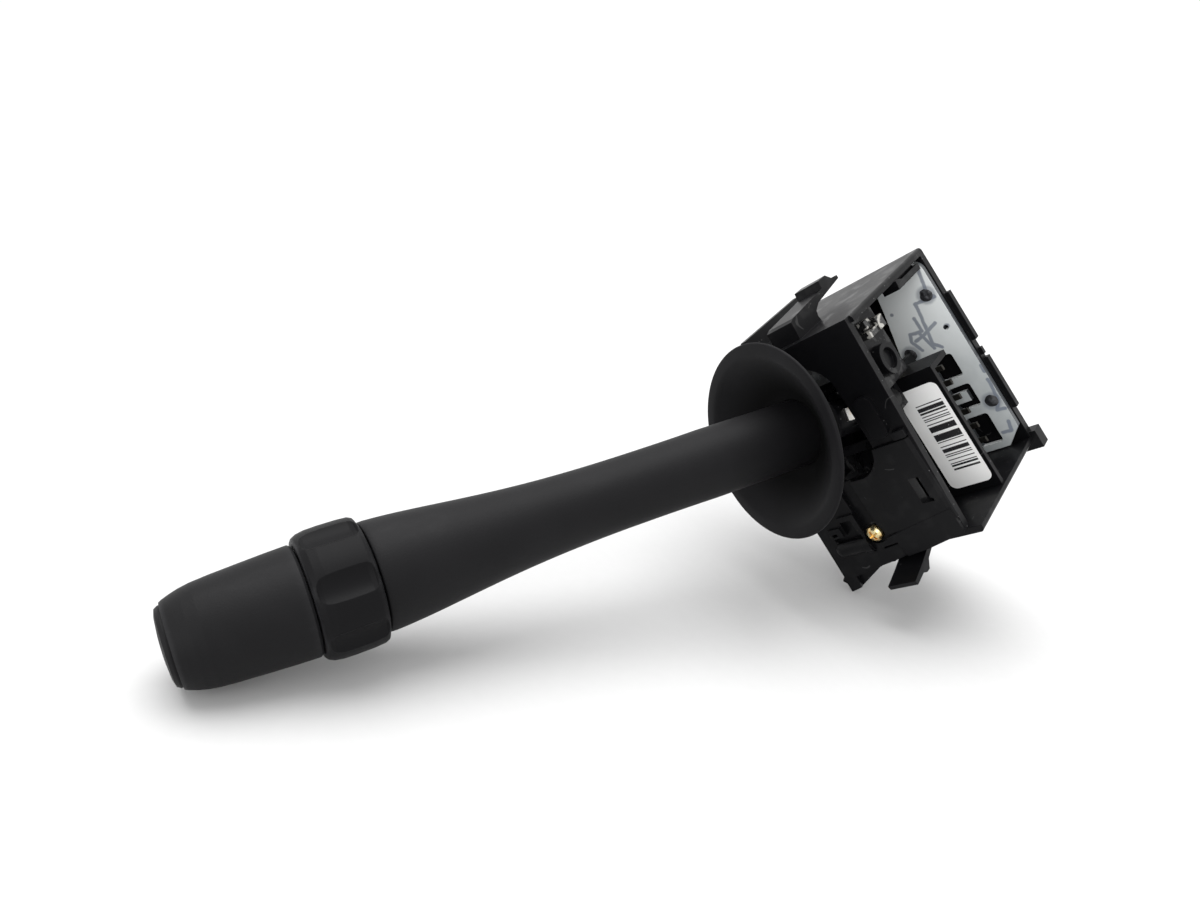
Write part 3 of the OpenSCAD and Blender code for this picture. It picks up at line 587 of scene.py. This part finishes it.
def cup_mesh():
    """The bell shaped cup: cone behind, flat lip, and a bowl that rolls in smoothly from the lip."""
    hub, round_r, steps = 8.25, 0.5, 18
    back = [(hub, 19.4), (9.0, 19.4), (9.4, 19.8), (9.4, 23.7), (11, 24.9), (23.55, 32.75)]
    rim = [(23.7 + round_r * math.cos(a), LIP_AT - round_r + round_r * math.sin(a))
           for a in (math.radians(d) for d in range(-60, 91, 15))]
    lip = [(22.6, LIP_AT), (21.6, LIP_AT - 0.03)]
    roll = [(21.2 - 9.4 * s, LIP_AT - 0.1 - 7.0 * s ** 1.22 - 0.35 * math.sin(math.pi * s))
            for s in (k / steps for k in range(steps + 1))]
    root = [(10.9, 26.1), (9.8, 25.5), (8.9, 25.1), (hub, 24.9)]
    return turned("cup", back + rim + lip + roll + root, 192, 50)


def stake_head_mesh():
    """The three melted heads: low domes, each squeezed out of round in its own way."""
    shape = bmesh.new()
    steps, sides = 8, 40
    for k, (mouth, up) in enumerate(STAKES):
        rings = []
        for i in range(steps + 1):
            slope = i / steps * math.pi / 2
            radius = HEAD_R * math.cos(slope) ** 0.8 if i < steps else HEAD_TIP_R
            height = HEAD_UNDER + (HEAD_TOP - HEAD_UNDER) * math.sin(slope) ** 0.9
            ring = []
            for j in range(sides):
                turn = j * math.tau / sides
                lump = noise.noise(Vector((math.cos(turn) * 1.1, math.sin(turn) * 1.1, 4.7 * k + 0.35 * i)))
                r = radius * (1 + 0.16 * lump)
                y, z = r * math.cos(turn), r * math.sin(turn)
                dent = 0.18 * noise.noise(Vector((y, z, 9.1 * k + 2)))
                ring.append(shape.verts.new(at(height + dent * math.sin(slope), mouth + y, up + z)))
            rings.append(ring)
        join_rings(shape, rings)
        shape.faces.new(rings[-1])
        shape.faces.new(list(reversed(rings[0])))
    return smooth_mesh("melted_heads", shape)


def floor_and_light(lowest):
    """White floor at the lowest point, an even white room, a broad lamp above for the soft shadow
    and a weaker one in front."""
    mesh = bpy.data.meshes.new("floor")
    corners = [(x * FLOOR_HALF, y * FLOOR_HALF, lowest) for x, y in ((-1, -1), (1, -1), (1, 1), (-1, 1))]
    mesh.from_pydata(corners, [], [(0, 1, 2, 3)])
    mesh.materials.append(floor_paper())
    ground = bpy.data.objects.new("floor", mesh)
    bpy.context.scene.collection.objects.link(ground)
    world = bpy.context.scene.world or bpy.data.worlds.new("studio")
    bpy.context.scene.world = world
    world.use_nodes = True
    world.node_tree.nodes["Background"].inputs["Color"].default_value = (1, 1, 1, 1)
    world.node_tree.nodes["Background"].inputs["Strength"].default_value = ROOM_STRENGTH
    for name, (turn, lean, strength, spread) in LAMPS.items():
        lamp = bpy.data.lights.new(name, "SUN")
        lamp.energy = strength
        lamp.angle = math.radians(spread)
        stand = bpy.data.objects.new(name, lamp)
        stand.rotation_euler = (math.radians(lean), 0, math.radians(turn))
        bpy.context.scene.collection.objects.link(stand)


def camera():
    """The photograph's view of the switch."""
    lens = bpy.data.cameras.new("camera")
    lens.lens = LENS
    lens.sensor_width = 36
    lens.clip_start = 0.01
    eye = bpy.data.objects.new("camera", lens)
    right, down, ahead = (v[0] * OUT + v[1] * MOUTH + v[2] * UP for v in (EYE_RIGHT, EYE_DOWN, EYE_AHEAD))
    facing = Matrix((right, -down, -ahead)).transposed().to_4x4()
    eye.matrix_world = Matrix.Translation(at(*EYE)) @ facing
    bpy.context.scene.collection.objects.link(eye)
    bpy.context.scene.camera = eye


stalk = stalk_plastic()
cup_black = cup_plastic()
dress(stalk, "lever_tube", "tip_cap", "end_button")
dress(cup_black, "dust_cup")
dress(ring_plastic(), "grip_ring")
dress(case_plastic(), "front_housing", "rear_cover", "connector_socket")
dress(case_plastic("frame_black_greased", 1.2), "bearing_frame", "swing_yoke", "lever_core")
dress(milky_plastic(), "terminal_plate")
dress(track_metal(), "contact_tracks")
melted = melted_plastic()
dress(melted, "heat_stakes")
dress(label_paper(), "label")
dress(yellow_zinc(), "cover_screws")
dress(ivory_in_painted_shade_and_grease(), "fixed_contacts")
dress(ivory_resin(), "detent_block", "contact_slider", "tip_switch")
dress(blades_in_painted_shade(), "terminal_blades")
dress(tinned_brass(), "slider_bridges", "wash_contact", "core_leads")
dress(blackened_pins(), "swing_pins", "pull_pin")
dress(spring_steel(), "detent_spring", "detent_plunger", "ring_detent_ball",
      "ring_detent_spring", "button_spring")
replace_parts(piece("stalk_tube", tube_mesh(), stalk, "lever"), "lever_tube")
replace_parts(piece("root_cup", cup_mesh(), cup_black, "lever"), "dust_cup")
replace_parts(piece("stake_heads_melted", stake_head_mesh(), melted, "base"), "heat_stakes")
floor_and_light(CAD_BOX[0].z)
camera()
bpy.context.scene.view_settings.view_transform = "Standard"
